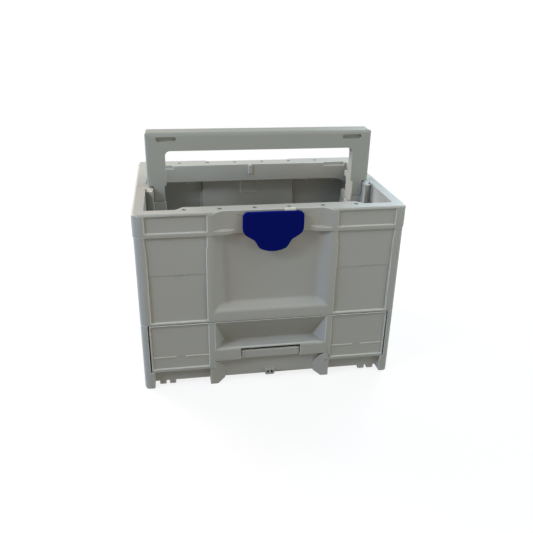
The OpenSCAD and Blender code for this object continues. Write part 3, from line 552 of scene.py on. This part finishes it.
@dataclass(frozen=True)
class Copy:
    """A piece that is an edge-rounded copy of one solid.

    With full_width, every edge is rounded by the whole of its width. Without it, the shortest edge of
    the piece limits them all, which suits the small pieces with tight curves.
    """

    node: str
    name: str
    finish: Finish
    slot: str
    edge: float = 0.5 * MM
    segments: int = 2
    full_width: bool = False
    soft: tuple[SoftZone, ...] = ()
    nudges: tuple[Nudge, ...] = ()

    def build(self, frame: dict[str, Value]) -> bpy.types.Object:
        """Copies the solid, merges its flat faces, shapes it and rounds its edges.


        Returns:
            The new piece.
        """
        source = frame["nodes"][self.node]
        piece = bpy.data.objects.new(self.name, source.data.copy())
        bpy.context.scene.collection.objects.link(piece)
        piece.data.name = self.name
        piece.data.materials.clear()
        piece.data.materials.append(self.finish.material())
        # The second slot holds the paler edge finish for the rounded edges: partly wear, partly a painted
        # highlight.
        piece.data.materials.append(self.finish.material(worn_and_highlit=True))
        select_only(piece)
        bpy.ops.object.mode_set(mode="EDIT")
        bpy.ops.mesh.select_all(action="SELECT")
        bpy.ops.mesh.remove_doubles(threshold=MERGE_DISTANCE)
        bpy.ops.mesh.dissolve_limited(angle_limit=FLAT_ANGLE)
        bpy.ops.object.mode_set(mode="OBJECT")
        for nudge in self.nudges:
            nudge.shift(piece)
        for zone in self.soft:
            zone.soften(piece)
        if self.full_width:
            split_many_sided(piece)
        unrounded = surface_of(piece)
        apply_modifier(
            piece,
            "BEVEL",
            width=self.edge,
            segments=self.segments,
            limit_method="ANGLE",
            angle_limit=ROUNDED_ANGLE,
            use_clamp_overlap=not self.full_width,
            miter_outer="MITER_ARC",
            material=1,
        )
        pull_back(piece, unrounded, reach=self.edge / 2)
        select_only(piece)
        bpy.ops.object.shade_smooth_by_angle(angle=SMOOTH_ANGLE)
        apply_modifier(piece, "WEIGHTED_NORMAL", keep_sharp=True, weight=80)
        return piece


@dataclass
class Assembly:
    """A group of pieces that ride on one body."""

    body: str
    copies: list[Copy] = field(default_factory=list)
    kept: dict[str, Finish] = field(default_factory=dict)
    pieces: dict[str, bpy.types.Object] = field(default_factory=dict)

    def build(self, frame: dict[str, Value]) -> None:
        """Builds the group's meshes.
        """
        for copy in self.copies:
            self.pieces[copy.name] = copy.build(frame)

    def dress(self, frame: dict[str, Value]) -> None:
        """Gives each piece its finish and lets it ride on its body.
        """
        for copy in self.copies:
            piece = self.pieces[copy.name]
            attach(piece, self.body)
            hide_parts(copy.node)
            LOG.info("%s rides on %s, %d faces", piece.name, self.body, len(piece.data.polygons))
        for node, finish in self.kept.items():
            paint(frame["nodes"][node], finish)


def paint(node: bpy.types.Object, finish: Finish) -> None:
    """Puts one finish on a whole CAD node.

    Args:
        node: The CAD node.
        finish: Its finish.
    """
    material = finish.material()
    for slot in node.material_slots:
        slot.link = "OBJECT"
        slot.material = material


# ---------------------------------------------------------------- sub-assemblies


@dataclass
class Case(Assembly):
    """The rim, the box, the carcass and what is fixed to them."""

    body: str = "case"

    def __post_init__(self) -> None:
        """Lists the pieces."""
        grey = (Finish.CASE, "case_plastic")
        recess = SoftZone((-87, -148, 132), (87, -128, 251), width=5.0 * MM)
        holes = (
            SoftZone((-130, -135, 284), (130, -125, 288), width=0.15 * MM),
            SoftZone((-130, 125, 284), (130, 135, 288), width=0.15 * MM),
        )
        feet = (
            SoftZone((-96, -146.5, -1), (-60, -118, 33), width=3.5 * MM),
            SoftZone((60, -146.5, -1), (96, -118, 33), width=3.5 * MM),
        )
        narrow_shoulder = Nudge((176.6, -148.5, 220.0), (177.4, -143.4, 222.0), move=(4.0, 0.0, 11.0))
        narrow_edge = Nudge((176.6, -148.5, 114.0), (177.4, -143.4, 219.9), move=(4.0, 0.0, 0.0))
        wide_shoulder = Nudge((180.2, -148.5, 236.0), (180.8, -143.4, 238.0), move=(1.8, 0.0, 3.0))
        wide_edge = Nudge((180.2, -148.5, 238.1), (180.8, -143.4, 254.0), move=(1.8, 0.0, 0.0))
        panel_edge = (narrow_shoulder, narrow_edge, wide_shoulder, wide_edge)
        shell = dict(edge=0.7 * MM, full_width=True)
        self.copies = [
            Copy("rim_frame", "rim", *grey, **shell, soft=holes),
            Copy("upper_box", "box", *grey, **shell, soft=(recess,), nudges=panel_edge),
            Copy("base_carcass", "carcass", *grey, **shell, soft=feet),
            Copy("left_handle_bracket", "left_bracket", *grey, edge=0.4 * MM),
            Copy("right_handle_bracket", "right_bracket", *grey, edge=0.4 * MM),
            Copy("coupling_eyelet", "eyelet", *grey, edge=0.3 * MM),
            Copy("left_runner", "left_rail", Finish.GUIDE, "guide_plastic", edge=0.4 * MM),
            Copy("right_runner", "right_rail", Finish.GUIDE, "guide_plastic", edge=0.4 * MM),
            Copy("drawer_stops", "stop_blocks", Finish.GUIDE, "guide_plastic", edge=0.4 * MM),
        ]
        steel = ("rim_screws", "floor_screws", "bracket_screws", "left_pivot_pin", "right_pivot_pin",
                 "latch_detent_spring", "runner_screws")
        self.kept = {node: Finish.STEEL for node in steel}


@dataclass
class Handle(Assembly):
    """The folding bail handle."""

    body: str = "handle"

    def __post_init__(self) -> None:
        """Lists the pieces."""
        grey = (Finish.HANDLE, "handle_plastic")
        self.copies = [
            Copy("handle_front_shell", "handle_front", *grey, edge=0.5 * MM),
            Copy("handle_rear_shell", "handle_rear", *grey, edge=0.5 * MM),
        ]
        self.kept = {"handle_screws": Finish.STEEL}


@dataclass
class Latch(Assembly):
    """The turning latch in the rim's front recess."""

    body: str = "latch"

    def __post_init__(self) -> None:
        """Lists the pieces."""
        self.copies = [
            Copy("latch_blade", "latch_wing", Finish.LATCH, "latch_plastic", edge=1.1 * MM, segments=4),
            Copy("latch_hook_plate", "latch_hook", Finish.TAB, "tab_plastic", edge=0.3 * MM),
        ]
        self.kept = {"latch_retainer": Finish.STEEL, "latch_screw": Finish.STEEL}


@dataclass
class Drawer(Assembly):
    """The drawer, with the cover and the wound springs of its release."""

    body: str = "drawer"
    wire: float = 0.4 * MM
    turns: int = 5
    lift: float = 4.0 * MM

    def __post_init__(self) -> None:
        """Lists the pieces."""
        grey = (Finish.CASE, "case_plastic")
        scoop = SoftZone((-86, -146.5, 65), (86, -120, 111), width=3.0 * MM)
        self.copies = [
            Copy("drawer_front", "drawer_face", *grey, edge=0.7 * MM, full_width=True, soft=(scoop,)),
            Copy("drawer_tray", "tray", *grey, edge=0.5 * MM),
            Copy("release_cover", "release_plate", Finish.GUIDE, "guide_plastic", edge=0.3 * MM),
        ]
        self.kept = {"drawer_front_screws": Finish.STEEL, "release_screws": Finish.STEEL}

    def wind(self, name: str, side: int) -> bpy.types.Object:
        """Winds one return spring in the space of its plain tube.

        Args:
            name: The spring's name.
            side: -1 for the left one, 1 for the right one.

        Returns:
            The new piece.
        """
        low, high = (Vector(corner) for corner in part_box("release_springs"))
        outer = (high.y - low.y) / 2
        centre = Vector((side * (high.x - outer), (low.y + high.y) / 2, low.z + self.wire))
        bpy.ops.mesh.primitive_circle_add(
            vertices=10, radius=self.wire, location=centre, rotation=(math.pi / 2, 0, 0)
        )
        spring = bpy.context.object
        spring.name = name
        bpy.ops.object.transform_apply(location=False, rotation=True, scale=False)
        bpy.ops.object.mode_set(mode="EDIT")
        bpy.ops.mesh.select_all(action="SELECT")
        bpy.ops.transform.translate(value=(outer - self.wire, 0, 0))
        bpy.ops.object.mode_set(mode="OBJECT")
        apply_modifier(
            spring,
            "SCREW",
            axis="Z",
            screw_offset=(high.z - low.z - 2 * self.wire) / self.turns,
            iterations=self.turns,
            steps=24,
            render_steps=24,
        )
        bpy.ops.object.mode_set(mode="EDIT")
        bpy.ops.mesh.select_all(action="SELECT")
        bpy.ops.mesh.fill_holes(sides=0)
        bpy.ops.mesh.normals_make_consistent(inside=False)
        bpy.ops.object.mode_set(mode="OBJECT")
        bpy.ops.object.shade_smooth_by_angle(angle=math.radians(50))
        bpy.ops.object.transform_apply(location=True, rotation=True, scale=True)
        spring.data.materials.append(Finish.STEEL.material())
        return spring

    def build(self, frame: dict[str, Value]) -> None:
        """Builds the copies and winds both return springs.
        """
        super().build(frame)
        for name, side in (("left_return_spring", -1), ("right_return_spring", 1)):
            self.pieces[name] = self.wind(name, side)

    def dress(self, frame: dict[str, Value]) -> None:
        """Dresses the copies and lets the springs ride on the drawer.
        """
        super().dress(frame)
        for name in ("left_return_spring", "right_return_spring"):
            spring = self.pieces[name]
            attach(spring, self.body)
            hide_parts("release_springs")
            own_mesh(spring)
            LOG.info("%s rides on %s, %d faces", name, self.body, len(spring.data.polygons))


@dataclass
class Release(Assembly):
    """The sprung slide in the drawer's pull lip."""

    body: str = "release"

    def __post_init__(self) -> None:
        """Lists the pieces."""
        self.copies = [Copy("release_slide", "release_button", Finish.CASE, "case_plastic", edge=0.35 * MM)]


# ---------------------------------------------------------------- studio


@dataclass(frozen=True)
class Lamp:
    """A soft square lamp: its place and side in metres, its power in watts and its colour."""

    name: str
    place: Colour
    size: float
    power: float
    colour: Colour

    def hang(self, target: Colour) -> None:
        """Adds the lamp and points it at the case.

        Args:
            target: The point that it shines at.
        """
        bpy.ops.object.light_add(type="AREA", location=self.place)
        lamp = bpy.context.object
        lamp.name = self.name
        lamp.data.size = self.size
        lamp.data.energy = self.power
        lamp.data.color = self.colour
        aim = Vector(target) - Vector(self.place)
        lamp.rotation_euler = aim.to_track_quat("-Z", "Y").to_euler()


@dataclass
class Studio:
    """The floor, the lights and the camera."""

    eye: Colour = (-0.1372508, -0.9017816, 0.5502579)
    pitch: float = 0.4278
    yaw: float = 0.1677
    roll: float = 0.0191
    lens: float = 38.863
    floor_size: float = 14.0
    floor_glow: float = 0.84
    floor_fade: tuple[float, float] = (0.55, 1.3)
    sky_strength: float = 0.12
    lit_point: Colour = (0.0, 0.0, 0.2)
    lamps: tuple[Lamp, ...] = (
        Lamp("key", (-1.25, -0.75, 1.25), 0.35, 11.7, (0.88, 0.91, 1.0)),
        Lamp("side", (-1.7, -0.45, 0.6), 0.5, 10.3, (0.34, 0.64, 1.0)),
        Lamp("ceiling", (0.8, -0.5, 1.5), 0.8, 8.1, (1.0, 1.0, 0.88)),
        Lamp("skylight", (0.9, 0.8, 0.9), 0.7, 18.2, (0.70, 0.87, 1.0)),
        Lamp("front_left", (-1.2, -1.1, 0.9), 0.8, 1.3, (0.76, 0.82, 1.0)),
        Lamp("front_right", (1.2, -0.9, 0.35), 0.8, 5.9, (0.68, 0.88, 1.0)),
        Lamp("front", (0.0, -1.8, 0.4), 0.9, 4.7, (1.0, 0.74, 0.36)),
        Lamp("back_left", (-1.1, 0.9, 0.9), 0.8, 32.5, (1.0, 0.86, 0.72)),
    )

    def camera(self) -> None:
        """Sets the camera at the photograph's viewpoint."""
        forward = Vector((
            math.sin(self.yaw) * math.cos(self.pitch),
            math.cos(self.yaw) * math.cos(self.pitch),
            -math.sin(self.pitch),
        ))
        level = Vector((math.cos(self.yaw), -math.sin(self.yaw), 0.0))
        rise = level.cross(forward)
        right = math.cos(self.roll) * level + math.sin(self.roll) * rise
        up = math.cos(self.roll) * rise - math.sin(self.roll) * level
        bpy.ops.object.camera_add()
        camera = bpy.context.object
        camera.name = "camera"
        camera.data.sensor_width = 36.0
        camera.data.lens = self.lens
        axes = Matrix((right, up, -forward)).transposed().to_4x4()
        camera.matrix_world = Matrix.Translation(self.eye) @ axes
        bpy.context.scene.camera = camera

    def floor(self) -> None:
        """Lays a plain pale floor that keeps the shadow and looks white to the camera."""
        bpy.ops.mesh.primitive_plane_add(size=self.floor_size, location=(0, 0, 0))
        plane = bpy.context.object
        plane.name = "floor"
        graph = Graph("pale_floor")
        path = graph.tree.nodes.new("ShaderNodeLightPath")
        shown = Sock(graph, path.outputs["Is Camera Ray"])
        for ray in ("Is Glossy Ray", "Is Transmission Ray"):
            other = Sock(graph, path.outputs[ray])
            shown = graph.add("ShaderNodeMath", {"operation": "MAXIMUM"}, {0: shown, 1: other})
        away = graph.add("ShaderNodeVectorMath", {"operation": "LENGTH"}, {0: graph.place}, output="Value")
        white = self.floor_glow + away.band(*self.floor_fade) * (1 - self.floor_glow)
        tone = graph.mix(shown, (0.10, 0.10, 0.10), (0.95, 0.95, 0.95))
        diffuse = graph.add("ShaderNodeBsdfDiffuse", None, {"Color": tone})
        glow = graph.add("ShaderNodeEmission", None, {"Color": (1, 1, 1, 1), "Strength": 1.0})
        blend = graph.add("ShaderNodeMixShader", None, {0: shown * white, 1: diffuse, 2: glow})
        output = graph.tree.nodes.new("ShaderNodeOutputMaterial")
        graph.tree.links.new(blend.socket, output.inputs["Surface"])
        plane.data.materials.append(graph.material)

    def world(self) -> None:
        """Sets an even sky that is white where the camera sees it."""
        world = bpy.data.worlds.new("even_sky")
        bpy.context.scene.world = world
        world.use_nodes = True
        tree = world.node_tree
        tree.nodes.clear()
        path = tree.nodes.new("ShaderNodeLightPath")
        lit = tree.nodes.new("ShaderNodeBackground")
        lit.inputs["Color"].default_value = (0.97, 0.985, 1.0, 1.0)
        lit.inputs["Strength"].default_value = self.sky_strength
        white = tree.nodes.new("ShaderNodeBackground")
        mix = tree.nodes.new("ShaderNodeMixShader")
        highest = tree.nodes.new("ShaderNodeMath")
        highest.operation = "MAXIMUM"
        output = tree.nodes.new("ShaderNodeOutputWorld")
        white.inputs["Color"].default_value = (1, 1, 1, 1)
        tree.links.new(path.outputs["Is Camera Ray"], highest.inputs[0])
        tree.links.new(path.outputs["Is Transmission Ray"], highest.inputs[1])
        tree.links.new(highest.outputs[0], mix.inputs[0])
        tree.links.new(lit.outputs[0], mix.inputs[1])
        tree.links.new(white.outputs[0], mix.inputs[2])
        tree.links.new(mix.outputs[0], output.inputs["Surface"])

    def build(self) -> None:
        """Sets up the whole studio."""
        self.camera()
        self.floor()
        self.world()
        for lamp in self.lamps:
            lamp.hang(self.lit_point)
        bpy.context.scene.view_settings.view_transform = "Standard"


def main() -> None:
    """Loads the frame, sets up the studio and builds the case."""
    logging.basicConfig(level=logging.INFO, format="%(name)s: %(message)s")
    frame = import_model()
    bpy.ops.object.select_all(action="DESELECT")
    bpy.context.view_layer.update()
    Studio().build()
    for assembly in (Case(), Handle(), Latch(), Drawer(), Release()):
        assembly.build(frame)
        assembly.dress(frame)


if __name__ == "__main__":
    main()
